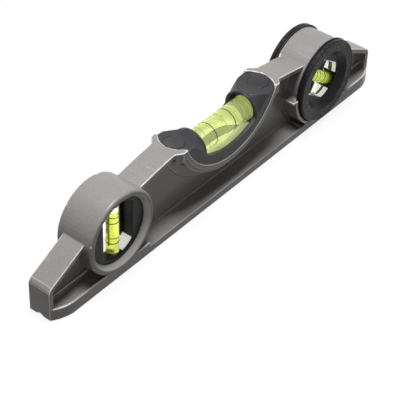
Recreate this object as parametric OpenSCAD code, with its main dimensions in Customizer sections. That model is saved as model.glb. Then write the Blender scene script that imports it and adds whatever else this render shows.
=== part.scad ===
/* [Casting] */
// Length over both noses
level_l = 250; // [225:1:300]
// Width of the base flange
base_w = 21.2; // [20.4:0.2:26]
// Height of the flange at its outer edge
edge_h = 4.4; // [3.5:0.1:6]
// Height of the flange where it meets the web
ridge_h = 5.8; // [5:0.1:8]
// Thickness of the web between the flange and the rail
web_t = 4; // [3:0.2:6]
// Width of the top rail
rail_w = 14; // [11:0.2:17]
// Thickness of the top rail
rail_t = 2.4; // [2:0.1:4]
// Height of the top rail at mid length
crown_h = 46.9; // [45:0.1:50]
// Radius of the long arc that the top rail follows
crown_r = 300; // [240:5:500]
// Width of each nose
nose_w = 12.8; // [10:0.2:15]
// Height of each nose at its end
nose_h = 17.7; // [14:0.1:22]
// Slope of the top of each nose in degrees
nose_slope = 27.5; // [20:0.5:35]
// Thickness of the wall at each nose end
nose_wall = 2.6; // [1.8:0.1:5]
// Radius of the top corner of each nose
nose_r = 4; // [2:0.2:6]
// Height of the lip along the edge of each nose
lip_z = 6.5; // [5:0.1:8]
// Width of the band along the flange's edge
edge_t = 1; // [0.8:0.1:1.2]
// Length over which the flange narrows to the nose
taper_l = 13; // [8:0.5:20]
// Width of the pipe groove along the base
groove_w = 5; // [3:0.2:7]
// Depth of the pipe groove along the base
groove_d = 1.2; // [0.6:0.1:1.6]

/* [Rings] */
// Distance of the plumb ring from mid length
plumb_x = 80.4; // [70:0.1:90]
// Distance of the dial from mid length
dial_x = 77.5; // [70:0.1:88]
// Height of both ring centres
ring_z = 25; // [24.6:0.1:27]
// Outer radius of both rings
ring_r = 21.8; // [20.5:0.1:23.5]
// Radius of the bore in both rings
bore_r = 17.4; // [15.5:0.1:18]
// Rounding of the plumb ring's outer edges
ring_round = 1.5; // [0.6:0.1:2]
// Width of the plumb ring's flat front face
ring_land = 1.2; // [0.6:0.1:1.6]
// Depth of the bevel inside the plumb ring
ring_bevel = 2.6; // [1.5:0.1:3]
// Width of the barrel that carries the dial
barrel_w = 17.2; // [15:0.2:18.6]
// Radius of the shallow recess in the web round the barrel
recess_r = 27.7; // [25.5:0.1:29]
// Depth of that recess
recess_d = 0.9; // [0.4:0.1:1.2]
// Height of the fence beside the dial
fence_z = 24; // [18:0.5:25]

/* [Cradle] */
// Height of the centre that the cradle curves round
cradle_z = 58.4; // [57:0.1:61]
// Inner radius of the cradle
cradle_r = 36.6; // [34:0.1:38]
// Thickness of the cradle's front rim
cradle_rim = 2.4; // [1.6:0.1:3]
// Thickness of the cradle's stepped back
cradle_back = 2; // [1.4:0.1:3]
// Width of the cradle and of the ears
cradle_w = 20.2; // [18.8:0.2:24]
// Distance from mid length to the end of each horn
horn_reach = 38; // [36:0.1:41]
// Plan radius of the end of each horn
horn_r = 11.5; // [10.5:0.1:13]
// Thickness of the tab at the end of each horn
horn_tab = 3.4; // [2.4:0.1:4]
// Length over which the rail flares into an ear
flare_l = 4.6; // [3:0.2:10]

/* [Saddle] */
// Gap between the horn mouths that shows the vial
mouth_l = 38; // [34:0.5:44]
// Radius of each horn at its mouth
hood_r = 10.1; // [9:0.1:11]
// Radius to which each horn flares at its outer end
hood_top_r = 19.5; // [16:0.1:22]
// Radius of the dish along each horn's pad
pad_r = 31; // [26:0.5:40]
// Depth of that dish below the end of the pad
pad_dip = 1.5; // [1:0.1:2]
// Radius of the scoop between the horns
scoop_r = 36; // [20:0.5:44]
// Height of the saddle's lip above the floor of the cradle at mid length
lip_h = 5.8; // [4.5:0.1:7]
// Thickness of the saddle's side lips
lip_t = 2.2; // [1.5:0.1:3]

/* [Level vial] */
// Outer diameter of the level vial
level_vial_d = 12.8; // [11:0.1:13.6]
// Length of the level vial
level_vial_l = 48; // [44:1:52]
// Height of the level vial's axis above the floor of the cradle
level_vial_z = 11.9; // [11.2:0.1:13]
// Distance between the two graduation rings
level_rings = 14.4; // [10:0.2:18]
// Length of the bubble in the level vial
bubble_l = 11; // [8:0.5:14]
// Width of the bubble in the level vial
bubble_w = 6.6; // [5:0.2:7.4]

/* [Plumb vial] */
// Outer diameter of the plumb vial
plumb_vial_d = 6.4; // [5:0.1:6.6]
// Distance between the plumb vial's graduation rings
plumb_rings = 12; // [9:0.2:14]
// Width of the window in front of the plumb vial
plumb_win_w = 20; // [16:0.2:22]
// Radius that rounds off the ends of that window
plumb_win_r = 15.3; // [13.5:0.1:15.6]
// Length of the air space above the plumb vial's fluid
plumb_air = 5; // [3:0.5:8]

/* [Angle vial] */
// Outer diameter of the angle vial
angle_vial_d = 7; // [5.4:0.1:7.2]
// Distance between the angle vial's graduation rings
angle_rings = 9; // [7:0.2:12]
// Length of the air space at the angle vial's high end
angle_air = 3; // [2:0.5:5]

/* [Dial] */
// Radius of the dial discs
disc_r = 22.8; // [22.2:0.1:24]
// Width over both dial discs
dial_w = 24.6; // [23:0.2:27]
// Angle at which the dial stands, in degrees
dial_turn = 34; // [0:1:90]
// Radius of the window in the dial
dial_win_r = 13; // [11:0.1:13.4]
// Height of the window in the dial
dial_win_h = 20; // [16:0.2:22]
// Inner radius of the raised scale band
scale_r = 16.7; // [15.8:0.1:18]
// Depth of the dish between the scale band and the window
dish_d = 3.4; // [2:0.1:3.8]
// Width of the post above the angle vial
post_top_w = 7.6; // [5:0.2:10]
// Width of the post below the angle vial
post_low_w = 2; // [1.6:0.2:8]
// Number of notches round each disc
notches = 36; // [24:6:60]

/* [Magnets] */
// Diameter of each base magnet
magnet_d = 8; // [6:0.5:10]
// Thickness of each base magnet
magnet_t = 3; // [2:0.1:3.2]
// Distance between neighbouring magnets
magnet_pitch = 44; // [30:1:56]

/* [Hidden] */
$fn = 96;
over = 1;
fit_gap = 0.1;
run_gap = 0.06;
side_gap = 0.1;
metal = "#9d9793";
charcoal = "#3b3b3e";
clear = "#dfe8dc";
fluid = "#cfe05a";

half_l = level_l / 2;
half_w = base_w / 2;
crown_z = crown_h - crown_r;
rim_r = cradle_r + cradle_rim;
back_r = rim_r + cradle_back;
nose_tan = tan(nose_slope);
ring_mid = (ring_r + bore_r) / 2;
vial_z = cradle_z - cradle_r + level_vial_z;

// A bar along Y whose side view is the child
module along_y(w) rotate([90, 0, 0]) linear_extrude(w, center = true) children();

// A bar along X whose end view is the child
module along_x(l) rotate([90, 0, 90]) linear_extrude(l, center = true) children();

// A disc or tube about a Y axis, given as radius against distance along Y
module turned_y() rotate([90, 0, 0]) rotate_extrude() children();

module at_ring(x) translate([x, 0, ring_z]) children();
module at_dial() at_ring(dial_x) rotate([0, dial_turn, 0]) children();
module both_ends() for (s = [0, 1]) mirror([s, 0, 0]) children();
module both_sides() for (s = [0, 1]) mirror([0, s, 0]) children();

// Points along a round stretch
function arc(cx, cy, r, a0, a1, n) = [for (i = [0 : n]) let (a = a0 + (a1 - a0) * i / n)
    [cx + r * cos(a), cy + r * sin(a)]];

// Radius of the curve that narrows the flange to a nose
drop = (base_w - nose_w) / 2 + 0.3;
taper_r = (taper_l * taper_l + drop * drop) / (2 * drop);

// Plan of the base, drawn in by a given width
module base_plan(inset) {
    square([level_l - 2 * taper_l, base_w - 2 * inset], center = true);
    both_ends() intersection() {
        translate([half_l - taper_l - over, -half_w]) square([taper_l + over - inset, base_w]);
        translate([half_l - taper_l, half_w - taper_r]) circle(taper_r - inset, $fn = 180);
        translate([half_l - taper_l, taper_r - half_w]) circle(taper_r - inset, $fn = 180);
    }
}

// Floor of the flange, which slopes away from the web to the edge band
module flange_floor() intersection() {
    linear_extrude(ridge_h) base_plan(edge_t / 2);
    along_x(level_l + 2 * over) polygon([[-half_w, -over], [half_w, -over], [half_w, edge_h],
        [half_w - edge_t, edge_h], [web_t / 2, ridge_h], [-web_t / 2, ridge_h], [edge_t - half_w, edge_h],
        [-half_w, edge_h]]);
}

// Band along the edge, which stands up as a lip round each nose, outside the plumb ring's opening
lip_run = 19.4;
module edge_band() difference() {
    linear_extrude(lip_z) difference() {
        base_plan(0);
        base_plan(edge_t);
    }
    translate([lip_run - plumb_x, -base_w, edge_h]) cube([plumb_x - lip_run + dial_x, 2 * base_w, base_w]);
    at_ring(-plumb_x) along_y(2 * base_w) circle(ring_mid);
}

// Sunk floor in the flange beside each disc, with a small cross rib
well_x = dial_x - ring_r + 0.6;
well_lip = 1.2;
well_d = 1.6;
cross_in = 3.2;
cross_t = 1.2;
module wells() both_sides() difference() {
    translate([well_x, web_t / 4, edge_h - well_d])
        cube([2 * (dial_x - well_x), half_w - well_lip - web_t / 4, base_w]);
    translate([well_x + cross_in, 0, 0]) cube([cross_t, half_w, edge_h + 0.1]);
}

// Room for the dial discs
room_gap = 0.5;
module disc_room() both_sides() at_ring(dial_x) translate([0, -barrel_w / 2, 0]) rotate([90, 0, 0])
    cylinder(h = base_w, r = disc_r + room_gap);

module magnet_places() for (i = [-1 : 1]) translate([i * magnet_pitch, 0, 0]) children();
module magnet_pocket() translate([0, 0, -over])
    cylinder(h = groove_d + magnet_t + fit_gap + over, d = magnet_d + 2 * fit_gap);

// Groove that lets the base sit along a pipe
groove_run = over * groove_w / groove_d / 2;
module pipe_groove() along_x(level_l + 2 * over) polygon([[-groove_w / 2 - groove_run, -over],
    [groove_w / 2 + groove_run, -over], [0, groove_d]]);

module flange() difference() {
    union() {
        flange_floor();
        edge_band();
    }
    wells();
    disc_room();
    pipe_groove();
    magnet_places() magnet_pocket();
}

// Side view of a nose, from its ring to the rounded end
corner_z = nose_h + nose_r * nose_tan - nose_r / cos(nose_slope);
function nose_top(x) = nose_h + (half_l - x) * nose_tan;

module nose_side(x0) polygon(concat([[x0, 0], [half_l, 0]],
    arc(half_l - nose_r, corner_z, nose_r, 0, 90 - nose_slope, 8), [[x0, nose_top(x0)]]));

module nose_pocket(x0) {
    skin = rail_t / cos(nose_slope);
    x1 = half_l - nose_wall;
    polygon([[x0 - over, -over], [x1, -over], [x1, nose_top(x1) - skin], [x0 - over, nose_top(x0 - over) - skin]]);
}

// Thin rib that stands out from the web inside each nose
rib_z = 9;
rib_t = 1.1;
rib_d = 1.6;
module nose_rib(x0) along_y(web_t + 2 * rib_d) translate([x0, rib_z]) square([half_l - nose_wall / 2 - x0, rib_t]);

// Top strip, end wall and rib of a nose; each starts inside the ring's wall
module nose(ring_x) {
    difference() {
        along_y(nose_w) difference() {
            nose_side(ring_x + ring_mid - 0.6);
            nose_pocket(ring_x + ring_mid - 0.6);
        }
        pipe_groove();
    }
    nose_rib(ring_x + ring_mid - 3);
}

module crown_disc(r) translate([0, crown_z]) circle(r, $fn = 720);

// The web in one slab, under the rail and under both nose strips
web_in = 1.5;
web_low = groove_d + magnet_t + 2 * fit_gap + 0.3;
function web_end(x) = [x, nose_top(x) - web_in / cos(nose_slope)];
module web_side() difference() {
    intersection() {
        polygon([[web_in - half_l, web_low], [half_l - web_in, web_low], web_end(half_l - web_in), web_end(dial_x),
            [0, crown_h + over], [-plumb_x, web_end(plumb_x)[1]], [web_in - half_l, web_end(half_l - web_in)[1]]]);
        crown_disc(crown_r - rail_t / 2);
    }
    translate([-plumb_x, ring_z]) circle(ring_mid);
    translate([dial_x, ring_z]) circle(ring_mid);
}
module web() difference() {
    along_y(web_t) web_side();
    both_sides() at_ring(dial_x) translate([0, recess_d - web_t / 2, 0]) rotate([90, 0, 0])
        cylinder(h = recess_d + over, r = recess_r);
}

// Plan of the rail, which flares smoothly into an ear at each side of the cradle
ear_x = horn_reach - 1.8;
rail_end = 13.4;
function ease(t) = t * t * (3 - 2 * t);
flare = [for (i = [0 : 8]) [ear_x + flare_l * i / 8, cradle_w / 2 + (rail_w - cradle_w) / 2 * ease(i / 8)]];
module half_plan(x1) polygon(concat([[-over, -cradle_w / 2], [ear_x, -cradle_w / 2]], [for (p = flare) [p[0], -p[1]]],
    [[x1, -rail_w / 2], [x1, rail_w / 2]], [for (i = [8 : -1 : 0]) flare[i]], [[-over, cradle_w / 2]]));

// Rail and ears are one band; outside the ears it thins from below
ear_t = horn_tab + 2;
module rail_half(x1) difference() {
    intersection() {
        linear_extrude(crown_h) half_plan(x1);
        along_y(base_w) difference() {
            crown_disc(crown_r);
            crown_disc(crown_r - ear_t);
        }
    }
    along_y(2 * base_w) intersection() {
        crown_disc(crown_r - rail_t);
        translate([ear_x + flare_l - 1, 0]) square([half_l, crown_h]);
    }
}

module rail() difference() {
    union() {
        rail_half(dial_x - rail_end);
        mirror([1, 0, 0]) rail_half(plumb_x - rail_end);
    }
    for (x = [-plumb_x, dial_x]) at_ring(x) along_y(2 * base_w) circle(ring_mid - 0.3);
}

module cradle_ring(outer, w, reach) intersection() {
    translate([0, 0, cradle_z]) along_y(w) circle(outer, $fn = 240);
    along_y(w + over) intersection() {
        crown_disc(crown_r - 1);
        translate([-reach, 0]) square([2 * reach, crown_h]);
    }
}

// The cradle's rim, its stepped back and a low arc on the web behind them
arc_r = back_r + 5;
arc_rise = 0.8;
module cradle() {
    cradle_ring(rim_r, cradle_w - 0.1, horn_reach + 0.5);
    cradle_ring(back_r, cradle_w - 2, horn_reach + 0.5);
    cradle_ring(arc_r, web_t + 2 * arc_rise, 2 * horn_reach);
}

// Plan of the pocket that takes the end of a horn
module horn_plan(gap) both_ends() translate([horn_reach - horn_r, 0]) circle(horn_r + gap);

module horn_pockets() {
    translate([0, 0, cradle_z]) along_y(base_w + over) circle(cradle_r, $fn = 240);
    difference() {
        linear_extrude(crown_h + over) horn_plan(0);
        along_y(2 * base_w) crown_disc(crown_r - horn_tab);
    }
}

module vial_room(l, gap) translate([0, 0, vial_z]) rotate([0, 90, 0])
    cylinder(h = l + 2 * gap, r = level_vial_d / 2 + gap, center = true);

module crown() difference() {
    union() {
        web();
        rail();
        cradle();
    }
    horn_pockets();
    vial_room(level_vial_l, 2 * fit_gap);
}

// The ring round the plumb vial: rounded outside, bevelled inside, with a rib that the shells seat on
seat_t = 1;
seat_r = bore_r - 1;
ring_d = half_w - 0.1;
ring_lip = ring_r - ring_round - ring_land;
function ring_half(s) = concat([[seat_r, s * seat_t / 2], [bore_r, s * seat_t / 2], [bore_r, s * (ring_d - ring_bevel)],
    [ring_lip, s * ring_d]], [for (i = [0 : 5]) [ring_r - ring_round + ring_round * sin(18 * i),
    s * (ring_d - ring_round + ring_round * cos(18 * i))]]);
module plumb_ring() turned_y() polygon(concat(ring_half(1), [for (i = [9 : -1 : 0]) ring_half(-1)[i]]));

// The barrel that carries the dial
module barrel() turned_y() translate([bore_r, -barrel_w / 2]) square([ring_r - bore_r, barrel_w]);

// A fence between the web and each disc, with a flat top that overhangs
fence_t = 1.6;
fence_r = disc_r + room_gap + fence_t;
fence_top = 1.4;
fence_w = base_w - 0.4;
module fences() intersection() {
    union() {
        at_ring(dial_x) along_y(barrel_w - 0.2) difference() {
            circle(fence_r - 0.3);
            circle(ring_mid + 0.4);
        }
        at_ring(dial_x) along_y(fence_w) difference() {
            circle(fence_r);
            circle(fence_r - fence_t);
        }
        translate([dial_x - fence_r - fence_t, -fence_w / 2 + 0.2, fence_z - fence_top])
            cube([1.8 * fence_t, fence_w - 0.4, base_w]);
    }
    translate([dial_x - 2 * disc_r, -base_w, edge_h - well_d - 0.4]) cube([1.5 * disc_r, 2 * base_w,
        fence_z - edge_h + well_d + 0.4]);
}

module body_casting() color(metal) union() {
    flange();
    crown();
    nose(dial_x);
    mirror([1, 0, 0]) nose(plumb_x);
    fences();
    at_ring(-plumb_x) plumb_ring();
    at_ring(dial_x) barrel();
}

module base_magnet(i) color("silver") translate([i * magnet_pitch, 0, groove_d])
    cylinder(h = magnet_t, d = magnet_d);
module base_magnet_left() base_magnet(-1);
module base_magnet_middle() base_magnet(0);
module base_magnet_right() base_magnet(1);

// The saddle's height at the end of each horn, and its lowest height on the pads
saddle_w = cradle_w - 0.4;
horn_z = crown_z + sqrt(crown_r * crown_r - horn_reach * horn_reach);
pad_low = horn_z - pad_dip;
pad_x = horn_reach - sqrt(2 * pad_r * (pad_dip + 0.3));

// Dish along the pad of each horn, sunk by a given depth
module pad_dish(depth) both_ends() translate([pad_x, 0, pad_low + pad_r]) along_y(2 * base_w)
    circle(pad_r + depth, $fn = 240);

// Curved line round the outside of each pad
line_r = 5.6;
line_x = horn_reach - 5.4;
module pad_lines() intersection() {
    both_ends() translate([line_x, 0, pad_low - 1]) difference() {
        cylinder(h = 2 * pad_dip + 2, r = line_r);
        translate([0, 0, -over]) cylinder(h = 2 * pad_dip + 4, r = line_r - 0.5);
        cube([3 * line_r, line_r, 4 * pad_r], center = true);
    }
    pad_dish(0.5);
}

// Walls between the horns, scooped along the level
module scooped_walls() along_y(saddle_w) difference() {
    translate([-horn_reach - over, 0]) square([2 * horn_reach + 2 * over, horn_z + 2]);
    translate([0, cradle_z - cradle_r + lip_h + scoop_r]) circle(scoop_r, $fn = 200);
}

module saddle_room() {
    translate([0, 0, cradle_z]) along_y(saddle_w) circle(cradle_r - fit_gap, $fn = 240);
    intersection() {
        linear_extrude(2 * crown_h) horn_plan(-fit_gap);
        along_y(saddle_w) difference() {
            square([level_l, 3 * crown_h], center = true);
            crown_disc(crown_r - horn_tab + fit_gap);
        }
    }
}

// A horn: round at its mouth, then flared towards its pad
hood_edge = 0.8;
hood_run = 2;
mouth_x = mouth_l / 2;
function flare_r(t) = hood_r + (hood_top_r - hood_r) * pow(t, 1.2);
function flare_x(t) = mouth_x + hood_run + (horn_reach + over - mouth_x - hood_run) * t;
module hoods() both_ends() translate([0, 0, vial_z]) rotate([0, 90, 0]) rotate_extrude()
    polygon(concat([[0, mouth_x]], arc(hood_r - hood_edge, mouth_x + hood_edge, hood_edge, -90, 0, 4),
        [for (i = [0 : 9]) [flare_r(i / 9), flare_x(i / 9)]], [[0, horn_reach + over]]));

// Recess round the vial inside each mouth, higher than the vial
mouth_gap = 1.2;
mouth_rise = 1.7;
mouth_d = 3;
module mouth_recess() both_ends() translate([mouth_x - over, 0, vial_z + mouth_rise]) rotate([0, 90, 0])
    cylinder(h = mouth_d + over, r = level_vial_d / 2 + mouth_gap);

floor_t = 1.5;
module grip_saddle() color(charcoal) difference() {
    intersection() {
        union() {
            scooped_walls();
            hoods();
        }
        saddle_room();
    }
    pad_dish(0);
    pad_lines();
    translate([0, 0, cradle_z]) intersection() {
        along_y(saddle_w - 2 * lip_t) circle(cradle_r - floor_t, $fn = 240);
        cube([mouth_l, base_w, 2 * cradle_r], center = true);
    }
    vial_room(level_vial_l, fit_gap);
    mouth_recess();
}

// White strip along the floor under the vial, clear of the vial
reflector_t = 0.8;
module level_reflector() color("white") difference() {
    translate([0, 0, cradle_z]) intersection() {
        along_y(saddle_w - 2 * lip_t - 2 * fit_gap) difference() {
            circle(cradle_r - floor_t, $fn = 240);
            circle(cradle_r - floor_t - reflector_t, $fn = 240);
        }
        translate([0, 0, -cradle_r]) cube([mouth_l - 2 * reflector_t, base_w, cradle_r], center = true);
    }
    vial_room(level_vial_l, 4 * fit_gap);
}

// A vial that stands on its closed round end; its length runs along Z
plug_l = 3;
end_t = 1.6;
line_t = 0.12;
line_w = 0.45;
function wall_of(d) = d > 9 ? 1.2 : 0.6;
function chamber_d(d) = d - 2 * wall_of(d);

module vial_tube(l, d) color(clear, 0.4) difference() {
    rotate_extrude() polygon(concat([[0, 0]], arc(d / 2 - end_t, end_t, end_t, -90, 0, 6), [[d / 2, l], [0, l]]));
    translate([0, 0, end_t]) cylinder(h = l, d = chamber_d(d));
}
module vial_fluid(l, d) color(fluid, 0.7) translate([0, 0, end_t]) cylinder(h = l - end_t, d = chamber_d(d) - fit_gap);
module vial_plug(l, d) color(charcoal) translate([0, 0, l - plug_l]) cylinder(h = plug_l, d = chamber_d(d) - fit_gap);
module vial_rings(z, gap, d) color("black") for (s = [-1, 1]) translate([0, 0, z + s * gap / 2 - line_w / 2])
    difference() {
        cylinder(h = line_w, d = d + 2 * line_t);
        translate([0, 0, -over]) cylinder(h = line_w + 2 * over, d = d);
    }

// The level vial, its closed end to the right
module level_place() translate([level_vial_l / 2, 0, vial_z]) rotate([0, -90, 0]) children();
module level_vial_tube() level_place() vial_tube(level_vial_l, level_vial_d);
module level_vial_plug() level_place() vial_plug(level_vial_l, level_vial_d);
module level_vial_rings() level_place() vial_rings(level_vial_l / 2, level_rings, level_vial_d);
bubble_x = -2;
module level_vial_fluid() color(fluid, 0.7) difference() {
    level_place() vial_fluid(level_vial_l - plug_l, level_vial_d);
    translate([bubble_x, 0, vial_z]) bubble();
}

// An air bubble against the top of the level vial's chamber
module bubble() {
    r = chamber_d(level_vial_d) / 2;
    z = sqrt(r * r - bubble_w * bubble_w / 4) - 1;
    translate([0, 0, z]) linear_extrude(r) {
        square([bubble_l - bubble_w, bubble_w], center = true);
        both_ends() translate([(bubble_l - bubble_w) / 2, 0]) circle(d = bubble_w);
    }
}

// Slot in the back of a moulding that holds a vial's ends; the vial goes in from behind
slot_gap = 0.05;
module vial_slot(l, d, depth) {
    cylinder(h = l, d = d + 2 * slot_gap);
    translate([-d / 2 - slot_gap, 0, 0]) cube([d + 2 * slot_gap, depth, l]);
}

// Shells that hold the plumb vial, one from each side of the seat in the bore
shell_face = half_w - ring_bevel - 0.4;
plumb_l = 2 * plumb_win_r + 1.2;
plumb_low = -plumb_win_r - 0.3;
plumb_y = -seat_t / 2 - 0.2 - plumb_vial_d / 2;
module plumb_window() intersection() {
    square([plumb_win_w, 4 * plumb_win_r], center = true);
    circle(plumb_win_r);
}
module plumb_shell() rotate([90, 0, 0]) difference() {
    translate([0, 0, seat_t / 2]) cylinder(h = shell_face - seat_t / 2, r = bore_r - fit_gap);
    translate([0, 0, -over]) linear_extrude(base_w) plumb_window();
}
module plumb_place() translate([-plumb_x, plumb_y, ring_z + plumb_low]) children();
module plumb_shell_front() color(charcoal) difference() {
    at_ring(-plumb_x) plumb_shell();
    plumb_place() vial_slot(plumb_l, plumb_vial_d, half_w);
}
module plumb_shell_rear() color(charcoal) at_ring(-plumb_x) mirror([0, 1, 0]) plumb_shell();

// White plate between the shells, with a foot on the sill of the front window
foot_t = 0.6;
foot_x = 3.6;
module plumb_diffuser() color("white") at_ring(-plumb_x) {
    along_y(seat_t) circle(seat_r - 2 * fit_gap);
    rotate([90, 0, 0]) linear_extrude(shell_face - 0.8) intersection() {
        difference() {
            circle(plumb_win_r - slot_gap);
            circle(plumb_win_r - foot_t);
        }
        translate([foot_x, -2 * plumb_win_r]) square([plumb_win_w / 2 - foot_x - fit_gap, 2 * plumb_win_r]);
    }
}
module plumb_vial_tube() plumb_place() vial_tube(plumb_l, plumb_vial_d);
module plumb_vial_fluid() plumb_place() vial_fluid(plumb_l - plug_l - plumb_air, plumb_vial_d);
module plumb_vial_rings() plumb_place() vial_rings(-plumb_low - 1.5, plumb_rings, plumb_vial_d);
module plumb_vial_plug() plumb_place() vial_plug(plumb_l, plumb_vial_d);

// Front half of the dial: a disc, and half of the drum that turns in the barrel
disc_in = barrel_w / 2 + side_gap;
disc_out = dial_w / 2;
o_ring_d = 1.6;
plate_r = bore_r - 2.3;
plate_t = 1;
flange_t = 0.8;
rim_in = disc_in + flange_t + 0.5;
module dial_window() intersection() {
    circle(dial_win_r);
    square([2 * dial_win_r, dial_win_h], center = true);
}
groove_r = bore_r - run_gap - o_ring_d - 0.05;
groove_w2 = o_ring_d / 2 + 0.1;
mark_d = 0.15;
module dial_side() polygon([[0, 0], [groove_r, 0], [groove_r, groove_w2], [bore_r - run_gap, groove_w2],
    [bore_r - run_gap, disc_in], [disc_r, disc_in], [disc_r, disc_in + flange_t], [disc_r - 0.9, disc_in + flange_t],
    [disc_r - 0.9, rim_in], [disc_r - 0.2, rim_in], [disc_r - 0.2, disc_out - 0.6], [disc_r - 0.8, disc_out],
    [disc_r - 1.3, disc_out], [disc_r - 1.3, disc_out - mark_d], [scale_r, disc_out - mark_d],
    [scale_r - 0.3, disc_out - 0.5], [dial_win_r + 0.6, disc_out - dish_d], [0, disc_out - dish_d]]);
module dial_half() difference() {
    rotate_extrude() dial_side();
    translate([0, 0, -over]) linear_extrude(dial_w) dial_window();
    translate([0, 0, -over]) cylinder(h = plate_t / 2 + over, r = plate_r);
    for (i = [0 : notches - 1]) rotate((i + 0.5) * 360 / notches)
        translate([disc_r - 0.7, -0.25, rim_in + 0.3]) cube([2, 0.5, disc_out - rim_in - 1.2]);
}
angle_l = 2 * dial_win_r + 2;
angle_y = -plate_t / 2 - 0.2 - angle_vial_d / 2;
module angle_place() at_dial() translate([angle_l / 2, angle_y, 0]) rotate([0, -90, 0]) children();

// Posts between the edge of the window and the vial, no deeper than the vial's middle
post_y = 1 - angle_y;
module posts() for (s = [0, 1]) mirror([0, s, 0]) {
    w = s == 0 ? post_top_w : post_low_w;
    translate([0, 0, plate_t / 2]) intersection() {
        cylinder(h = post_y - plate_t / 2, r = dial_win_r + 0.4);
        translate([-w / 2, angle_vial_d / 2 - 0.4, -over]) cube([w, dial_win_r, disc_out]);
    }
}
module dial_front() color(charcoal) difference() {
    at_dial() rotate([90, 0, 0]) {
        dial_half();
        posts();
    }
    at_dial() translate([-angle_l / 2, angle_y, 0]) rotate([0, 90, 0]) vial_slot(angle_l, angle_vial_d, plate_r);
}
module dial_rear() color(charcoal) at_dial() rotate([-90, 0, 0]) dial_half();
module dial_friction_ring() color("black") at_dial() rotate([90, 0, 0]) rotate_extrude()
    translate([bore_r - run_gap / 2 - o_ring_d / 2, 0]) circle(d = o_ring_d, $fn = 24);

// White plate between the dial's halves, with a foot along each corner of the front window
patch_x = post_top_w / 2 + 0.3;
patch_z = angle_vial_d / 2 + 1.1;
module window_room(gap) intersection() {
    circle(dial_win_r - gap);
    square([2 * dial_win_r, dial_win_h - 2 * gap], center = true);
}
module angle_diffuser() color("white") at_dial() {
    along_y(plate_t) circle(plate_r - fit_gap);
    rotate([90, 0, 0]) linear_extrude(disc_out - dish_d - 0.8) difference() {
        window_room(fit_gap);
        window_room(fit_gap + foot_t);
        square([2 * patch_x, dial_win_h], center = true);
        square([2 * dial_win_r, 2 * patch_z], center = true);
    }
}
module angle_vial_tube() angle_place() vial_tube(angle_l, angle_vial_d);
module angle_vial_fluid() angle_place() vial_fluid(angle_l - plug_l - angle_air, angle_vial_d);
module angle_vial_rings() angle_place() vial_rings(angle_l / 2, angle_rings, angle_vial_d);
module angle_vial_plug() angle_place() vial_plug(angle_l, angle_vial_d);

body_casting();
base_magnet_left();
base_magnet_middle();
base_magnet_right();
grip_saddle();
level_reflector();
level_vial_tube();
level_vial_fluid();
level_vial_rings();
level_vial_plug();
plumb_shell_front();
plumb_shell_rear();
plumb_diffuser();
plumb_vial_tube();
plumb_vial_fluid();
plumb_vial_rings();
plumb_vial_plug();
dial_front();
dial_rear();
dial_friction_ring();
angle_diffuser();
angle_vial_tube();
angle_vial_fluid();
angle_vial_rings();
angle_vial_plug();
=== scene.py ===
"""Looks of a pocket spirit level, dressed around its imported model.

Every size is in metres, in the frame of the part: +X along the length towards
the turning dial, -Y the face that shows the vials, +Z up from the base.
"""

import logging
import math
from dataclasses import dataclass, field
from enum import Enum

import bmesh
import bpy
from mathutils import Matrix, Vector


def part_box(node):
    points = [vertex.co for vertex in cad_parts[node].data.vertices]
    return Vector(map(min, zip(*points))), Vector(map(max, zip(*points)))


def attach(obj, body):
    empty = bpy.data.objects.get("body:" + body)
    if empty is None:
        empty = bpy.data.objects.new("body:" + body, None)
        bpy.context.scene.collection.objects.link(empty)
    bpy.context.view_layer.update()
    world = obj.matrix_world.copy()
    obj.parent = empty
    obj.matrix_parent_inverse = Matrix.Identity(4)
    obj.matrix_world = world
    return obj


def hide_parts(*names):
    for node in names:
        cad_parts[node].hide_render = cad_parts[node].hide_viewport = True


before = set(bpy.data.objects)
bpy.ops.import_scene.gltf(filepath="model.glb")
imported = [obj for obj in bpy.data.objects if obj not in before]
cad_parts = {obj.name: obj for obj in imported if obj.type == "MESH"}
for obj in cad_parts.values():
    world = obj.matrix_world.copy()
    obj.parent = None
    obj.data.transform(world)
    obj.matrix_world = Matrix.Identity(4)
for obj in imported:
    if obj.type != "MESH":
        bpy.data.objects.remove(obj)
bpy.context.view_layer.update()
MM = 0.001
LOG = logging.getLogger("spirit_level")

FULL_TURN = 360
# Stretch of a noise's values over which a roughness or a shade changes.
NOISE_SPREAD = (0.3, 0.7)
SHADE_SPREAD = (0.35, 0.65)
# Finer layers in a noise, from an even one to a slow cloud.
SOFT_DETAIL = 2.0
GRAIN_DETAIL = 3.0
CLOUD_DETAIL = 4.0
# Bending of light from the air into a vial's rod, on into its fluid, and into a bubble there.
ROD_IOR = 1.47
FLUID_IOR = 1.02
BUBBLE_IOR = 0.64
# Sockets of a node that mixes colours. Their names repeat, so they go by number.
MIX_MASK, MIX_BELOW, MIX_ABOVE, MIX_RESULT = 0, 6, 7, 2
# A small bar's rounding as a share of its thinnest side, its steps and its shape.
BAR_EDGE = 0.2
BAR_STEPS = 2
BAR_PROFILE = 0.5

Colour = tuple[float, float, float]
Span = tuple[float, float]
Profile = list[tuple[float, float]]
Socket = bpy.types.NodeSocket
Given = Socket | Colour | float
WHITE: Colour = (1.0, 1.0, 1.0)


class Body(Enum):
    """The two rigid bodies of the level."""

    LEVEL = "level"
    DIAL = "dial"


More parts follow.
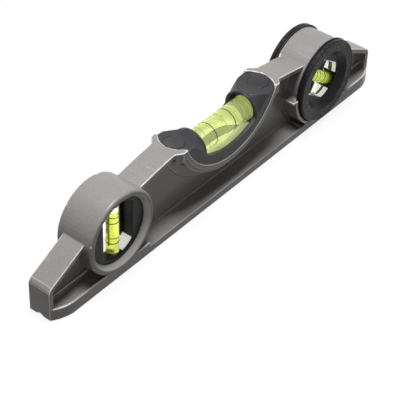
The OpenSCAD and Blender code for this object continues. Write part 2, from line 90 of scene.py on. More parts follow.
class Nodes:
    """A node tree under construction, with short calls for its nodes."""

    def __init__(self, tree: bpy.types.NodeTree) -> None:
        """Take over a node tree.

        Args:
            tree: The tree to build in.
        """
        self.tree = tree

    def add(self, kind: str, **values: object) -> bpy.types.Node:
        """Add a node and set its properties or sockets.

        Args:
            kind: The node's Blender type.
            **values: Property or socket names and values.

        Returns:
            The new node.
        """
        node = self.tree.nodes.new(kind)
        for key, value in values.items():
            name = key.replace("_", " ").title()
            if hasattr(node, key):
                setattr(node, key, value)
            elif name in node.inputs:
                node.inputs[name].default_value = value
            else:
                raise KeyError(f"{kind} has no {key}")
        return node

    def give(self, value: Given, into: Socket) -> None:
        """Let a socket take a number, a plain shade or the value of another socket.

        Args:
            value: The value, or the socket that gives it.
            into: The socket that takes it.
        """
        if isinstance(value, Socket):
            self.tree.links.new(value, into)
        elif into.type == "RGBA":
            into.default_value = (*value, 1.0)
        else:
            into.default_value = value

    def fed(self, kind: str, *given: Given, **values: object) -> bpy.types.Node:
        """Add a node and give its first sockets what they need, in order.

        Args:
            kind: The node's Blender type.
            *given: What the sockets take.
            **values: Property or socket names and values.

        Returns:
            The new node.
        """
        node = self.add(kind, **values)
        for value, into in zip(given, node.inputs):
            self.give(value, into)
        return node

    def product(self, first: Given, second: Given) -> Socket:
        """Multiply two masks.

        Args:
            first: The one mask.
            second: The other mask, or a share.

        Returns:
            The socket of their product.
        """
        return self.fed("ShaderNodeMath", first, second, operation="MULTIPLY").outputs[0]

    def either(self, first: Given, second: Given) -> Socket:
        """Join two masks.

        Args:
            first: The one mask.
            second: The other mask.

        Returns:
            The socket of the mask that covers both.
        """
        return self.fed("ShaderNodeMath", first, second, operation="MAXIMUM").outputs[0]

    def seen_white(self, share: float) -> Socket:
        """Say which rays see the white backdrop.

        Args:
            share: How much of the white those rays see.

        Returns:
            A socket that is share for camera, glossy and transmission rays.
        """
        path = self.add("ShaderNodeLightPath")
        seen = self.either(path.outputs["Is Camera Ray"], path.outputs["Is Glossy Ray"])
        seen = self.either(seen, path.outputs["Is Transmission Ray"])
        return self.product(seen, share)

    def finish(self, mask: Socket, below: Socket, above: Socket, output: bpy.types.Node) -> None:
        """Lay one shader over another and show the result.

        Args:
            mask: How much of the upper shader shows.
            below: The lower shader.
            above: The upper shader.
            output: The tree's output node.
        """
        mix = self.fed("ShaderNodeMixShader", mask, below, above)
        self.give(mix.outputs[0], output.inputs["Surface"])


class NodeSheet(Nodes):
    """A node material under construction."""

    def __init__(self, name: str) -> None:
        """Start an empty node material.

        Args:
            name: The material's name.
        """
        self.material = bpy.data.materials.new(name)
        self.material.use_nodes = True
        super().__init__(self.material.node_tree)
        self.shader = self.tree.nodes["Principled BSDF"]
        self.output = self.tree.nodes["Material Output"]

    def set(self, **sockets: Given) -> None:
        """Set sockets of the surface shader by their plain names.

        Args:
            **sockets: Socket names, with underscores for spaces, and what they take.
        """
        for key, value in sockets.items():
            self.give(value, self.shader.inputs[key.replace("_", " ")])

    def place(self) -> Socket:
        """Give the place of a point in the part's own space.

        Returns:
            The place's socket.
        """
        return self.add("ShaderNodeTexCoord").outputs["Object"]

    def noise(self, size: float, detail: float = GRAIN_DETAIL) -> Socket:
        """Add a noise texture in the part's own space.

        Args:
            size: Length of one grain in metres.
            detail: Number of finer layers.

        Returns:
            The noise's socket.
        """
        return self.fed(
            "ShaderNodeTexNoise", self.place(), scale=1.0 / size, detail=detail).outputs["Fac"]

    def shades(self, noise: Socket, low: Colour, high: Colour) -> Socket:
        """Turn a noise into colours between two shades.

        Args:
            noise: The noise.
            low: Colour at the low end.
            high: Colour at the high end.

        Returns:
            The colour's socket.
        """
        ramp = self.fed("ShaderNodeValToRGB", noise)
        for stop, place, shade in zip(ramp.color_ramp.elements, SHADE_SPREAD, (low, high)):
            stop.position = place
            stop.color = (*shade, 1.0)
        return ramp.outputs["Color"]

    def rescale(self, value: Socket, source: Span, target: Span = (0.0, 1.0)) -> Socket:
        """Spread a value over a new range, held at its ends.

        Args:
            value: The value's socket.
            source: The value at the start and at the end.
            target: What it becomes there, a mask from nothing to full if left out.

        Returns:
            The new value's socket.
        """
        return self.fed("ShaderNodeMapRange", value, *source, *target).outputs["Result"]

    def blend(self, below: Given, above: Given, mask: Socket) -> Socket:
        """Lay one colour over another where a mask says.

        Args:
            below: The colour below.
            above: The colour above.
            mask: How much of the upper colour shows.

        Returns:
            The colour's socket.
        """
        mix = self.add("ShaderNodeMix", data_type="RGBA")
        self.give(mask, mix.inputs[MIX_MASK])
        self.give(below, mix.inputs[MIX_BELOW])
        self.give(above, mix.inputs[MIX_ABOVE])
        return mix.outputs[MIX_RESULT]

    def depth(self) -> Socket:
        """Give the distance from the middle plane of the level.

        Returns:
            The distance's socket.
        """
        split = self.fed("ShaderNodeSeparateXYZ", self.place())
        return self.fed("ShaderNodeMath", split.outputs["Y"], operation="ABSOLUTE").outputs[0]

    def from_axis(self, middle: Vector) -> Socket:
        """Give the distance from an axis that runs along Y.

        Args:
            middle: A point on the axis.

        Returns:
            The distance's socket.
        """
        kind = "ShaderNodeVectorMath"
        shift = self.fed(kind, self.place(), middle, operation="SUBTRACT")
        flat = self.fed(kind, shift.outputs[0], (1, 0, 1), operation="MULTIPLY")
        return self.fed(kind, flat.outputs[0], operation="LENGTH").outputs["Value"]

    def edges(self, edge_highlight: Span, most: float) -> Socket:
        """Find where the surface turns outwards sharply, for a painted highlight along those edges.

        Args:
            edge_highlight: Pointedness at which the painted edge highlight starts and is full.
            most: Most of the highlight shade that shows.

        Returns:
            The mask's socket.
        """
        shape = self.add("ShaderNodeNewGeometry")
        return self.rescale(shape.outputs["Pointiness"], edge_highlight, (0.0, most))

    def roughen(self, noise: Socket, rough: Span) -> None:
        """Drive the surface's roughness from a noise.

        Args:
            noise: The noise.
            rough: Lowest and highest roughness.
        """
        self.set(Roughness=self.rescale(noise, NOISE_SPREAD, rough))

    def bump(self, noise: Socket, depth: float) -> None:
        """Drive the surface's bump from a noise.

        Args:
            noise: The noise.
            depth: Height of the bumps in metres.
        """
        bump = self.add("ShaderNodeBump", strength=1.0, distance=depth)
        self.give(noise, bump.inputs["Height"])
        self.set(Normal=bump.outputs["Normal"])


@dataclass(frozen=True)
class CastMetal:
    """Satin metallic grey coat over a die casting, with a fine sparkle and a painted highlight on
    sharp edges.
    """

    name: str = "cast_metal"
    dark: Colour = (0.272, 0.258, 0.250)
    light: Colour = (0.318, 0.303, 0.295)
    # Near-white shade of the painted highlight on sharp outward edges.
    edge_highlight_colour: Colour = (0.90, 0.88, 0.86)
    machined: Colour = (0.60, 0.59, 0.575)
    grain: float = 0.7 * MM
    cloud: float = 12 * MM
    depth: float = 0.011 * MM
    rough: Span = (0.27, 0.36)
    # Pointedness over which the painted edge highlight fades in, and its strength.
    edge_highlight: Span = (0.512, 0.538)
    most_edge_highlight: float = 0.95
    metallic: float = 0.08
    gloss: float = 0.18
    bevel_r: float = 19.2 * MM
    bevel_y: float = 8.0 * MM
    fade: float = 0.2 * MM

    def make(self) -> bpy.types.Material:
        """Build the finish.

        Returns:
            The material.
        """
        sheet = NodeSheet(self.name)
        grain = sheet.noise(self.grain)
        cloud = sheet.noise(self.cloud, CLOUD_DETAIL)
        coat = sheet.shades(grain, self.dark, self.light)
        # Painted highlight: a near-white shade laid over the coat along sharp outward edges.
        edge_highlight = sheet.blend(coat, self.edge_highlight_colour, sheet.edges(self.edge_highlight, self.most_edge_highlight))
        from_ring = sheet.from_axis(centre("plumb_shell_front"))
        inside = sheet.rescale(from_ring, (self.bevel_r, self.bevel_r - self.fade))
        outside = sheet.rescale(sheet.depth(), (self.bevel_y - self.fade, self.bevel_y))
        bare = sheet.blend(edge_highlight, self.machined, sheet.product(inside, outside))
        sheet.roughen(cloud, self.rough)
        sheet.bump(grain, self.depth)
        sheet.set(Base_Color=bare, Metallic=self.metallic, Specular_IOR_Level=self.gloss)
        return sheet.material


@dataclass(frozen=True)
class Moulding:
    """Coloured plastic moulding with a fine spark-eroded texture."""

    name: str
    dark: Colour
    light: Colour
    rough: Span
    gloss: float = 0.5
    grain: float = 0.22 * MM
    depth: float = 0.008 * MM
    cloud_grains: float = 40

    def make(self) -> bpy.types.Material:
        """Build the finish.

        Returns:
            The material.
        """
        sheet = NodeSheet(self.name)
        grain = sheet.noise(self.grain, SOFT_DETAIL)
        cloud = sheet.noise(self.cloud_grains * self.grain, CLOUD_DETAIL)
        sheet.roughen(cloud, self.rough)
        sheet.bump(grain, self.depth)
        colour = sheet.shades(cloud, self.dark, self.light)
        sheet.set(Base_Color=colour, Specular_IOR_Level=self.gloss)
        return sheet.material


@dataclass(frozen=True)
class FrostedPlate:
    """Frosted plate with opaque white feet and a painted glow that stands in for light from behind."""

    name: str = "frosted_plate"
    low: Colour = (0.93, 0.93, 0.91)
    high: Colour = (0.97, 0.97, 0.95)
    rough: Span = (0.20, 0.30)
    cloud: float = 6 * MM
    foot: float = 0.6 * MM
    fade: float = 0.1 * MM
    clear: float = 0.8
    # Strength of the painted glow, which stands in for light from behind.
    painted_glow: float = 0.40

    def make(self) -> bpy.types.Material:
        """Build the finish.

        Returns:
            The material.
        """
        sheet = NodeSheet(self.name)
        cloud = sheet.noise(self.cloud)
        colour = sheet.shades(cloud, self.low, self.high)
        plate = sheet.rescale(sheet.depth(), (self.foot + self.fade, self.foot), (0.0, self.clear))
        sheet.roughen(cloud, self.rough)
        sheet.set(Base_Color=colour, Transmission_Weight=plate)
        # Painted glow: the plate gives out light of its own colour.
        sheet.set(Emission_Color=colour, Emission_Strength=self.painted_glow)
        return sheet.material


@dataclass(frozen=True)
class ClearPlastic:
    """Clear, tinted or cloudy see-through plastic, fluid or air, with a painted glow where one is
    given.
    """

    name: str
    tint: Colour
    ior: float
    clear: float = 1.0
    # Emission strength: a painted glow that brightens a fluid.
    glow: float = 0.0
    rough: float = 0.0
    cloud: float = 14 * MM
    paler: float = 1.02

    def make(self) -> bpy.types.Material:
        """Build the finish.

        Returns:
            The material.
        """
        sheet = NodeSheet(self.name)
        cloud = sheet.noise(self.cloud, SOFT_DETAIL)
        pale = tuple(min(1.0, self.paler * share) for share in self.tint)
        colour = sheet.shades(cloud, self.tint, pale)
        sheet.set(Base_Color=colour, IOR=self.ior, Roughness=self.rough)
        sheet.set(Transmission_Weight=self.clear)
        sheet.set(Emission_Color=colour, Emission_Strength=self.glow)
        return sheet.material


@dataclass(frozen=True)
class Finishes:
    """Every finish of the level, made once."""

    cast: bpy.types.Material = field(default_factory=CastMetal().make)
    soft: bpy.types.Material = field(default_factory=Moulding(
        "soft_black", (0.025, 0.025, 0.029), (0.036, 0.036, 0.041), (0.32, 0.42), gloss=0.27).make)
    hard: bpy.types.Material = field(default_factory=Moulding(
        "hard_black", (0.014, 0.014, 0.017), (0.021, 0.021, 0.024), (0.30, 0.40), gloss=0.16).make)
    white: bpy.types.Material = field(default_factory=Moulding(
        "white_moulding", (0.90, 0.90, 0.87), (0.94, 0.94, 0.92), (0.40, 0.50)).make)
    frosted: bpy.types.Material = field(default_factory=FrostedPlate().make)
    line: bpy.types.Material = field(default_factory=Moulding(
        "printed_line", (0.022, 0.030, 0.008), (0.034, 0.044, 0.012), (0.45, 0.55)).make)
    olive: bpy.types.Material = field(default_factory=Moulding(
        "olive_print", (0.20, 0.22, 0.04), (0.27, 0.29, 0.06), (0.45, 0.55), gloss=0.3).make)
    rubber: bpy.types.Material = field(default_factory=Moulding(
        "seal_rubber", (0.016, 0.016, 0.016), (0.022, 0.022, 0.022), (0.55, 0.65)).make)
    magnet: bpy.types.Material = field(default_factory=Moulding(
        "magnet_plate", (0.55, 0.55, 0.57), (0.62, 0.62, 0.64), (0.22, 0.30)).make)
    plug: bpy.types.Material = field(default_factory=Moulding(
        "vial_plug", (0.10, 0.13, 0.03), (0.14, 0.17, 0.05), (0.30, 0.40)).make)
    tube: bpy.types.Material = field(default_factory=ClearPlastic(
        "clear_tube", (0.97, 0.99, 0.86), ROD_IOR).make)
    # Each of the three fluids has a painted glow that brightens it.
    fluid: bpy.types.Material = field(default_factory=ClearPlastic(
        "vial_fluid", (0.72, 0.78, 0.13), FLUID_IOR, clear=0.91, glow=0.07).make)
    angle_fluid: bpy.types.Material = field(default_factory=ClearPlastic(
        "angle_fluid", (0.56, 0.68, 0.09), FLUID_IOR, clear=0.96, glow=0.04).make)
    level_fluid: bpy.types.Material = field(default_factory=ClearPlastic(
        "level_fluid", (0.83, 0.90, 0.43), FLUID_IOR, clear=0.86, glow=0.11).make)
    air: bpy.types.Material = field(default_factory=ClearPlastic(
        "air_bubble", WHITE, BUBBLE_IOR).make)


def new_piece(name: str, mesh: bpy.types.Mesh, finish: bpy.types.Material) -> bpy.types.Object:
    """Put a finished mesh into the scene.

    Args:
        name: The piece's name.
        mesh: Its mesh.
        finish: Its material.

    Returns:
        The new object.
    """
    piece = bpy.data.objects.new(name, mesh)
    mesh.materials.clear()
    mesh.materials.append(finish)
    bpy.context.scene.collection.objects.link(piece)
    return piece


def mount(piece: bpy.types.Object, body: Body, slot: str, *replaced: str) -> bpy.types.Object:
    """Let a piece ride on a body and say what it stands for.

    Args:
        piece: The piece.
        body: The body that carries it.
        slot: The record's material slot; not used.
        *replaced: CAD nodes that the piece stands for.

    Returns:
        The same piece.
    """
    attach(piece, body.value)
    if replaced:
        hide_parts(*replaced)
    LOG.info(
        "%s (%d faces) rides on %s and replaces %s",
        piece.name, len(piece.data.polygons), body.value, list(replaced))
    return piece


def dress_node(node: str, finish: bpy.types.Material) -> None:
    """Give a carried-over node its finish.

    Args:
        node: The node's name.
        finish: Its material.
    """
    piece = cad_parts[node]
    if not piece.material_slots:
        piece.data.materials.append(finish)
    for place in piece.material_slots:
        place.material = finish
    LOG.info("%s keeps its solid and is dressed in %s", node, finish.name)


def shown_mesh(piece: bpy.types.Object) -> bpy.types.Mesh:
    """Take the mesh that an object shows once its modifiers or letters are worked out.

    Args:
        piece: The object.

    Returns:
        A new mesh.
    """
    bpy.context.view_layer.update()
    graph = bpy.context.evaluated_depsgraph_get()
    return bpy.data.meshes.new_from_object(piece.evaluated_get(graph))


def smoothed(mesh: bpy.types.Mesh) -> bpy.types.Mesh:
    """Shade every face of a mesh smoothly.

    Args:
        mesh: The mesh.

    Returns:
        The same mesh.
    """
    for face in mesh.polygons:
        face.use_smooth = True
    return mesh


def as_mesh(name: str, form: bmesh.types.BMesh) -> bpy.types.Mesh:
    """Turn a form under construction into a finished mesh.

    Args:
        name: The mesh's name.
        form: The form under construction, which is freed.

    Returns:
        The finished mesh.
    """
    mesh = bpy.data.meshes.new(name)
    form.to_mesh(mesh)
    form.free()
    return mesh


def lathe(profile: Profile, steps: int) -> bmesh.types.BMesh:
    """Turn a closed profile about the Z axis.

    Args:
        profile: Points (radius, height) from one end of the axis to the other.
        steps: Number of steps round the axis.

    Returns:
        The turned form.
    """
    form = bmesh.new()
    turns = [2 * math.pi * i / steps for i in range(steps)]
    rings = []
    for radius, height in profile:
        spots = [(radius * math.cos(turn), radius * math.sin(turn), height) for turn in turns]
        rings.append([form.verts.new(spot) for spot in (spots if radius else spots[:1])])
    for low, high in zip(rings, rings[1:]):
        for i in range(steps):
            j = (i + 1) % steps
            if len(low) == 1:
                form.faces.new((low[0], high[j], high[i]))
            elif len(high) == 1:
                form.faces.new((low[i], low[j], high[0]))
            else:
                form.faces.new((low[i], low[j], high[j], high[i]))
    bmesh.ops.recalc_face_normals(form, faces=form.faces)
    return form


def lathe_mesh(name: str, profile: Profile, place: Matrix, steps: int = 96) -> bpy.types.Mesh:
    """Turn a profile and put it in place.

    Args:
        name: The mesh's name.
        profile: Points (radius, height).
        place: Where the turned axis goes.
        steps: Number of steps round the axis.

    Returns:
        The mesh, smooth shaded.
    """
    form = lathe(profile, steps)
    form.transform(place)
    return smoothed(as_mesh(name, form))


def rounded_rod(radius: float, length: float, edge: float, arc_steps: int = 6) -> Profile:
    """Profile of a rod with rounded ends.

    Args:
        radius: The rod's radius.
        length: Its length.
        edge: Radius of the rounding at both ends.
        arc_steps: Steps in each rounding.

    Returns:
        The profile from the low end to the high end.
    """
    turns = [math.pi / 2 * i / arc_steps for i in range(arc_steps + 1)]
    low = [(radius - edge + edge * math.sin(a), edge - edge * math.cos(a)) for a in turns]
    high = [(r, length - z) for r, z in reversed(low)]
    return [(0, 0), *low, *high, (0, length)]


def ball(steps: int) -> Profile:
    """Profile of a ball of radius one.

    Args:
        steps: Steps from its lowest point to its highest.

    Returns:
        The profile from the low end to the high end.
    """
    turns = [math.pi * i / steps for i in range(1, steps)]
    return [(0, -1), *((math.sin(turn), -math.cos(turn)) for turn in turns), (0, 1)]


def bar(form: bmesh.types.BMesh, size: Vector, place: Matrix) -> None:
    """Add a small bar with bevelled edges to a form.

    Args:
        form: The form to add to.
        size: The bar's length, width and height.
        place: Where its centre goes and how it is turned.
    """
    part = bmesh.ops.create_cube(form, size=1.0)["verts"]
    bmesh.ops.transform(form, matrix=place @ Matrix.Diagonal((*size, 1.0)), verts=part)
    edges = list({edge for point in part for edge in point.link_edges})
    bmesh.ops.bevel(
        form, geom=edges, offset=BAR_EDGE * min(size), segments=BAR_STEPS,
        profile=BAR_PROFILE, affect="EDGES")


def centre(node: str) -> Vector:
    """Find the middle of a node's box.

    Args:
        node: The node's name.

    Returns:
        The middle.
    """
    low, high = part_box(node)
    return (low + high) / 2


def reach(node: str, start: Vector, along: Vector) -> Span:
    """Measure how far a node reaches along a direction.

    Args:
        node: The node's name.
        start: Where the measure starts.
        along: The direction, of length one.

    Returns:
        The lowest and the highest distance from the start.
    """
    steps = [(point.co - start).dot(along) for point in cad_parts[node].data.vertices]
    return min(steps), max(steps)


def apart(first: float, second: float) -> float:
    """Measure the smaller turn between two angles.

    Args:
        first: The one angle, in degrees.
        second: The other angle, in degrees.

    Returns:
        The turn between them, in degrees.
    """
    return abs((first - second + FULL_TURN / 2) % FULL_TURN - FULL_TURN / 2)


def turned_to(side: Vector, up: Vector, out: Vector) -> Matrix:
    """Turn the plain axes towards three directions.

    Args:
        side: Where X points.
        up: Where Y points.
        out: Where Z points.

    Returns:
        The turn.
    """
    return Matrix((side, up, out)).transposed().to_4x4()


@dataclass(frozen=True)
class Softening:
    """How finely a solid is copied and how far its edges are rounded.

    The solid is cut into an even mesh of cells of size grid, its edges are
    rounded in a number of passes, and a share of the faces is kept.
    """

    grid: float
    passes: int
    keep: float
    strength: float = 0.5

    def copy(self, node: str, name: str, finish: bpy.types.Material) -> bpy.types.Object:
        """Copy a solid and round every edge and corner, as a casting or moulding has.

        Args:
            node: The CAD node to copy.
            name: The new piece's name.
            finish: Its material.

        Returns:
            The new piece.
        """
        piece = new_piece(name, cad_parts[node].data.copy(), finish)
        remesh = piece.modifiers.new("even_mesh", "REMESH")
        remesh.mode = "VOXEL"
        remesh.voxel_size = self.grid
        smooth = piece.modifiers.new("round_edges", "SMOOTH")
        smooth.factor = self.strength
        smooth.iterations = self.passes
        thin = piece.modifiers.new("thin_out", "DECIMATE")
        thin.ratio = self.keep
        mesh = shown_mesh(piece)
        piece.modifiers.clear()
        piece.data = smoothed(mesh)
        return piece

    def skin(
        self, node: str, name: str, finish: bpy.types.Material, body: Body, slot: str
    ) -> None:
        """Copy a node with rounded edges and put the copy in its place.

        Args:
            node: The CAD node.
            name: The new piece's name.
            finish: Its material.
            body: The body that carries it.
            slot: The record's material slot.
        """
        mount(self.copy(node, name, finish), body, slot, node)


@dataclass
class Casting:
    """The one-piece die casting."""

    finishes: Finishes
    soft: Softening = Softening(0.26 * MM, 2, 0.13)

    def build(self) -> None:
        """Build the coated casting with its rounded edges and fillets."""
        self.soft.skin("body_casting", "casting", self.finishes.cast, Body.LEVEL, "cast_metal")


@dataclass
class Magnets:
    """The disc magnets in the base."""

    finishes: Finishes

    def build(self) -> None:
        """Dress the three magnets."""
        for place in ("left", "middle", "right"):
            dress_node(f"base_magnet_{place}", self.finishes.magnet)


@dataclass
class Saddle:
    """The soft charcoal saddle with its two horns."""

    finishes: Finishes
    soft: Softening = Softening(0.20 * MM, 3, 0.50)

    def build(self) -> None:
        """Build the saddle with soft edges and dress the strip under the vial."""
        self.soft.skin("grip_saddle", "saddle", self.finishes.soft, Body.LEVEL, "soft_black")
        dress_node("level_reflector", self.finishes.white)


@dataclass
class Vial:
    """A sealed vial: a clear rod, the fluid inside it, its lines and its plug.

    The rod is drawn solid and the fluid inside it bends light no further, so
    that light passes from the wall to the fluid as it does in a filled vial.
    Their length, width and place are read from the vial's solids.
    """

    finishes: Finishes
    prefix: str
    body: Body
    fluid: bpy.types.Material
    rod_edge: float = 1.6 * MM
    core_edge: float = 0.5 * MM

    def rod_mesh(self, node: str, edge: float) -> bpy.types.Mesh:
        """Turn a round rod over the room that a node takes along the vial.

        Args:
            node: The node to follow.
            edge: Rounding of its ends.

        Returns:
            The mesh.
        """
        middle = centre(f"{self.prefix}_vial_rings")
        along = (centre(f"{self.prefix}_vial_plug") - middle).normalized()
        low, high = reach(node, middle, along)
        corner_low, corner_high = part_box(node)
        radius = (corner_high.y - corner_low.y) / 2
        turn = along.to_track_quat("Z", "Y").to_matrix().to_4x4()
        place = Matrix.Translation(middle + low * along) @ turn
        return lathe_mesh(node, rounded_rod(radius, high - low, edge), place)

    def build(self) -> None:
        """Build the rod and the fluid, and dress the lines and the plug."""
        rod = self.rod_mesh(f"{self.prefix}_vial_tube", self.rod_edge)
        tube = new_piece(f"{self.prefix}_clear_tube", rod, self.finishes.tube)
        mount(tube, self.body, "clear_tube", f"{self.prefix}_vial_tube")
        core = self.rod_mesh(f"{self.prefix}_vial_fluid", self.core_edge)
        fluid = new_piece(f"{self.prefix}_bright_fluid", core, self.fluid)
        mount(fluid, self.body, "vial_fluid", f"{self.prefix}_vial_fluid")
        dress_node(f"{self.prefix}_vial_rings", self.finishes.line)
        dress_node(f"{self.prefix}_vial_plug", self.finishes.plug)


@dataclass
class LevelBubble:
    """The air bubble in the level vial."""

    finishes: Finishes
    shift: float = -2 * MM
    half_length: float = 5.4 * MM
    half_width: float = 3.2 * MM
    half_height: float = 1.1 * MM
    film: float = 0.1 * MM
    steps: int = 24

    def build(self) -> None:
        """Build the bubble as a flattened egg under the top of the chamber."""
        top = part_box("level_vial_fluid")[1].z
        middle = centre("level_vial_tube")
        place = Vector((self.shift, middle.y, top - self.film - self.half_height))
        size = Matrix.Diagonal((self.half_length, self.half_width, self.half_height, 1.0))
        egg = Matrix.Translation(place) @ size
        mesh = lathe_mesh("level_bubble", ball(self.steps), egg, 2 * self.steps)
        mount(new_piece("level_air_bubble", mesh, self.finishes.air), Body.LEVEL, "clear_tube")


@dataclass
class PlumbUnit:
    """The shells, the white plate and the black screen behind the plumb vial.

    The screen is open for slot_half to both sides of the vial's axis, and again
    between strip_from and strip_to at the right.
    """

    finishes: Finishes
    soft: Softening = Softening(0.22 * MM, 3, 0.35)
    window_half: float = 10 * MM
    slot_half: float = 4.7 * MM
    strip_from: float = 6.6 * MM
    strip_to: float = 8.2 * MM
    screen_t: float = 0.7 * MM
    screen_in: float = 0.15 * MM
    screen_behind: float = 0.05 * MM

    def screen(self) -> bpy.types.Mesh:
        """Cut the black screen that leaves two bright slots beside the vial.

        Returns:
            The mesh, two panels and a narrow outer post.
        """
        middle = centre("plumb_diffuser")
        low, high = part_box("plumb_vial_tube")
        half_high = (high.z - low.z) / 2
        depth = high.y - self.screen_t / 2 + self.screen_behind
        window = self.window_half - self.screen_in
        spans = (
            (-window, -self.slot_half),
            (self.slot_half, self.strip_from),
            (self.strip_to, window),
        )
        form = bmesh.new()
        for start, stop in spans:
            far = max(abs(start), abs(stop))
            tall = math.sqrt(half_high ** 2 - far ** 2) - self.screen_in
            spot = Vector((middle.x + (start + stop) / 2, depth, middle.z))
            bar(form, Vector((stop - start, self.screen_t, 2 * tall)), Matrix.Translation(spot))
        return as_mesh("plumb_screen", form)

    def build(self) -> None:
        """Build the shells and the screen, and dress the plate."""
        black = self.finishes.hard
        for end in ("front", "rear"):
            node = f"plumb_shell_{end}"
            self.soft.skin(node, f"plumb_{end}_shell", black, Body.LEVEL, "hard_black")
        dress_node("plumb_diffuser", self.finishes.frosted)
        mount(new_piece("plumb_back_screen", self.screen(), black), Body.LEVEL, "hard_black")


@dataclass
class Dial:
    """The turning dial: two discs, its ring, the white plate and its marks.

    Each printed number has its angle on the dial, in degrees. Its olive ticks
    reach printed_reach to both sides, and the moulded ticks keep printed_room
    away from it. The strips follow the round room that the plate's feet leave.
    """

    finishes: Finishes
    soft: Softening = Softening(0.15 * MM, 2, 0.17)
    ring_mid: float = 19.0 * MM
    face_in: float = 0.15 * MM
    proud: float = 0.09 * MM
    printed: tuple[tuple[float, str], ...] = ((66.0, "45"), (-141.0, "90"))
    printed_reach: int = 16
    printed_step: int = 4
    printed_room: float = 22.0
    number_high: float = 3.4 * MM
    number_in: float = 0.8 * MM
    tick_step: int = 10
    tick_long: float = 2.0 * MM
    tick_short: float = 1.2 * MM
    tick_wide: float = 0.32 * MM
    room_r: float = 12.28 * MM
    room_half: float = 9.28 * MM
    strip_start: float = 4.2 * MM
    strip_y: float = -5.0 * MM
    strip_low: float = 1.3 * MM
    strip_high: float = 2.2 * MM
    strip_t: float = 0.3 * MM
    strip_steps: int = 8

    def seat(self, angle: float, radius: float) -> Matrix:
        """Find the place on the front disc at an angle and a radius.

        Args:
            angle: Angle from +X towards +Z, in degrees.
            radius: Distance from the centre.

        Returns:
            A place whose Y axis points outwards and whose Z axis points to the viewer.
        """
        middle = centre("dial_front")
        turn = math.radians(angle)
        out = Vector((math.cos(turn), 0, math.sin(turn)))
        front = Vector((0, -1, 0))
        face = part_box("dial_front")[0].y + self.face_in
        spot = Vector((middle.x, face, middle.z)) + radius * out
        return Matrix.Translation(spot) @ turned_to(out.cross(front), out, front)

    def ticks(self, name: str, angles: list[float], finish: bpy.types.Material) -> None:
        """Raise a row of ticks near the edge of the front disc.

        Args:
            name: The new piece's name.
            angles: Where the ticks stand, in degrees.
            finish: Their material.
        """
        form = bmesh.new()
        for i, angle in enumerate(angles):
            long = self.tick_short if i % 2 else self.tick_long
            place = self.seat(angle, self.ring_mid + self.tick_long - long / 2)
            bar(form, Vector((self.tick_wide, long, 2 * self.proud)), place)
        mount(new_piece(name, as_mesh(name, form), finish), Body.DIAL, "line_black")

    def strip_points(self, side: int) -> list[Vector]:
        """Follow the inner face of a foot of the white plate.

        Args:
            side: 1 for the upper foot on the right, -1 for the lower one.

        Returns:
            Points from the flat end of the foot to its round end.
        """
        first = math.asin(self.room_half / self.room_r)
        last = math.asin(self.strip_start / self.room_r)
        steps = self.strip_steps
        points = [Vector((self.strip_start, self.strip_y, side * self.room_half))]
        for i in range(steps + 1):
            turn = first + (last - first) * i / steps
            across = self.room_r * math.cos(turn)
            points.append(Vector((across, self.strip_y, side * self.room_r * math.sin(turn))))
        return points

    def strips(self) -> bpy.types.Mesh:
        """Lay an olive strip over each foot, where the vial's holder meets the plate.

        Returns:
            The mesh of the four strips.
        """
        middle = centre("dial_front")
        vial = centre("angle_vial_plug") - centre("angle_vial_rings")
        tilt = -math.atan(vial.z / vial.x)
        hub = Matrix.Translation((middle.x, 0, middle.z)) @ Matrix.Rotation(tilt, 4, "Y")
        form = bmesh.new()
        for side, wide in ((1, self.strip_high), (-1, self.strip_low)):
            points = self.strip_points(side)
            for start, stop in zip(points, points[1:]):
                for flip in (1, -1):
                    ends = [Vector((flip * p.x, p.y, p.z)) for p in (start, stop)]
                    along = ends[1] - ends[0]
                    lean = Matrix.Rotation(-math.atan2(along.z, along.x), 4, "Y")
                    place = hub @ Matrix.Translation((ends[0] + ends[1]) / 2) @ lean
                    long = along.length + self.strip_t / 2
                    bar(form, Vector((long, wide, self.strip_t)), place)
        return as_mesh("dial_window_strips", form)

    def numeral(self, text: str, angle: float) -> None:
        """Print a plain number on the front disc.

        Args:
            text: The number.
            angle: Where it stands, in degrees.
        """
        curve = bpy.data.curves.new(f"number_{text}", "FONT")
        curve.body = text
        curve.size = self.number_high
        curve.align_x = "CENTER"
        curve.align_y = "CENTER"
        curve.extrude = self.proud
        letters = bpy.data.objects.new(curve.name, curve)
        bpy.context.scene.collection.objects.link(letters)
        mesh = shown_mesh(letters)
        bpy.data.objects.remove(letters)
        mesh.transform(self.seat(angle, self.ring_mid - self.number_in))
        number = new_piece(f"dial_number_{text}", mesh, self.finishes.olive)
        mount(number, Body.DIAL, "line_black")

    def build(self) -> None:
        """Build the discs and their marks, and dress the ring and the plate."""
        for end in ("front", "rear"):
            disc = f"dial_{end}"
            self.soft.skin(disc, f"{disc}_disc", self.finishes.hard, Body.DIAL, "hard_black")
        dress_node("dial_friction_ring", self.finishes.rubber)
        dress_node("angle_diffuser", self.finishes.frosted)
        strips = new_piece("dial_window_strips", self.strips(), self.finishes.plug)
        mount(strips, Body.DIAL, "plug_clear")
        steps = range(-self.printed_reach, self.printed_reach + 1, self.printed_step)
        olive = [middle + step for middle, _ in self.printed for step in steps]
        moulded = [
            angle for angle in range(0, FULL_TURN, self.tick_step)
            if all(apart(angle, middle) > self.printed_room for middle, _ in self.printed)
        ]
        self.ticks("dial_printed_ticks", olive, self.finishes.olive)
        self.ticks("dial_moulded_ticks", moulded, self.finishes.hard)
        for angle, text in self.printed:
            self.numeral(text, angle)


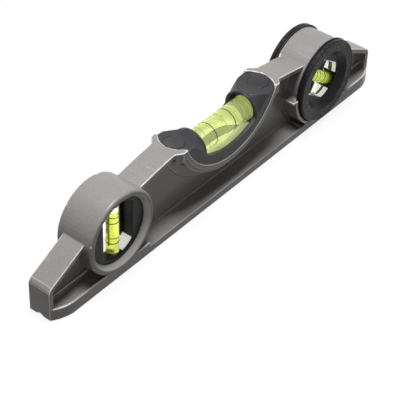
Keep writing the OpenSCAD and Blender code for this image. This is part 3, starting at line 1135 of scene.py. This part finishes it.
@dataclass
class Studio:
    """Floor, lights and camera of a plain product shot."""

    azimuth: float = math.radians(-52.28)
    elevation: float = math.radians(40.22)
    roll: float = math.radians(2.04)
    distance: float = 743.7 * MM
    target: Vector = field(default_factory=lambda: Vector((-10.83 * MM, 0, -5.54 * MM)))
    lens: float = 134.7
    sensor: float = 36.0
    clip: Span = (0.05, 20.0)
    floor_half: float = 3.0
    floor_drop: float = 0.1 * MM
    floor_grain: float = 60 * MM
    floor_low: Colour = (0.96, 0.96, 0.96)
    floor_high: Colour = (0.98, 0.98, 0.98)
    floor_rough: float = 0.9
    floor_white: float = 0.86
    bounce: Colour = (0.10, 0.10, 0.10)
    fill: float = 0.13
    lamp_place: Vector = field(default_factory=lambda: Vector((-0.04, 0.01, 0.9)))
    lamp_size: float = 0.28
    lamp_power: float = 8.8

    def camera(self) -> None:
        """Place the camera where the photograph was taken from."""
        level = math.cos(self.elevation)
        back = Vector((
            math.sin(self.azimuth) * level, -math.cos(self.azimuth) * level, math.sin(self.elevation)))
        right = Vector((math.cos(self.azimuth), math.sin(self.azimuth), 0))
        up = back.cross(right)
        turned = math.cos(self.roll) * right + math.sin(self.roll) * up
        raised = math.cos(self.roll) * up - math.sin(self.roll) * right
        lens = bpy.data.cameras.new("camera")
        lens.lens = self.lens
        lens.sensor_width = self.sensor
        lens.clip_start, lens.clip_end = self.clip
        camera = bpy.data.objects.new("camera", lens)
        stand = Matrix.Translation(self.target + self.distance * back)
        camera.matrix_world = stand @ turned_to(turned, raised, back)
        bpy.context.scene.collection.objects.link(camera)
        bpy.context.scene.camera = camera

    def floor(self) -> None:
        """Lay a pale floor that keeps a soft shadow."""
        form = bmesh.new()
        half = self.floor_half
        corners = ((-half, -half), (half, -half), (half, half), (-half, half))
        form.faces.new([form.verts.new((x, y, -self.floor_drop)) for x, y in corners])
        sheet = NodeSheet("pale_floor")
        pale = sheet.shades(sheet.noise(self.floor_grain), self.floor_low, self.floor_high)
        in_camera = sheet.add("ShaderNodeLightPath").outputs["Is Camera Ray"]
        sheet.set(Base_Color=sheet.blend(self.bounce, pale, in_camera), Roughness=self.floor_rough)
        glow = sheet.add("ShaderNodeEmission", strength=1.0)
        seen = sheet.seen_white(self.floor_white)
        sheet.finish(seen, sheet.shader.outputs[0], glow.outputs[0], sheet.output)
        floor = new_piece("floor", as_mesh("floor", form), sheet.material)

    def world(self) -> None:
        """Light the room evenly and show it white."""
        world = bpy.data.worlds.new("studio")
        bpy.context.scene.world = world
        world.use_nodes = True
        world.node_tree.nodes.clear()
        nodes = Nodes(world.node_tree)
        fill = nodes.fed("ShaderNodeBackground", WHITE, self.fill)
        white = nodes.fed("ShaderNodeBackground", WHITE, 1.0)
        output = nodes.add("ShaderNodeOutputWorld")
        nodes.finish(nodes.seen_white(1.0), fill.outputs[0], white.outputs[0], output)

    def lamp(self) -> None:
        """Hang a square soft light that points at the level."""
        light = bpy.data.lights.new("overhead", "AREA")
        light.size = self.lamp_size
        light.energy = self.lamp_power
        lamp = bpy.data.objects.new("overhead", light)
        lamp.location = self.lamp_place
        lamp.rotation_euler = (-self.lamp_place).to_track_quat("-Z", "Y").to_euler()
        bpy.context.scene.collection.objects.link(lamp)

    def build(self) -> None:
        """Build the floor, the lights and the camera."""
        self.camera()
        self.floor()
        self.world()
        self.lamp()


def main() -> None:
    """Build the level piece by piece, then the studio round it."""
    logging.basicConfig(level=logging.INFO, format="%(name)s: %(message)s")
    bpy.context.scene.view_settings.view_transform = "Standard"
    finishes = Finishes()
    Casting(finishes).build()
    Magnets(finishes).build()
    Saddle(finishes).build()
    Vial(finishes, "level", Body.LEVEL, finishes.level_fluid).build()
    LevelBubble(finishes).build()
    PlumbUnit(finishes).build()
    Vial(finishes, "plumb", Body.LEVEL, finishes.fluid).build()
    Dial(finishes).build()
    Vial(finishes, "angle", Body.DIAL, finishes.angle_fluid).build()
    Studio().build()


if __name__ == "__main__":
    main()
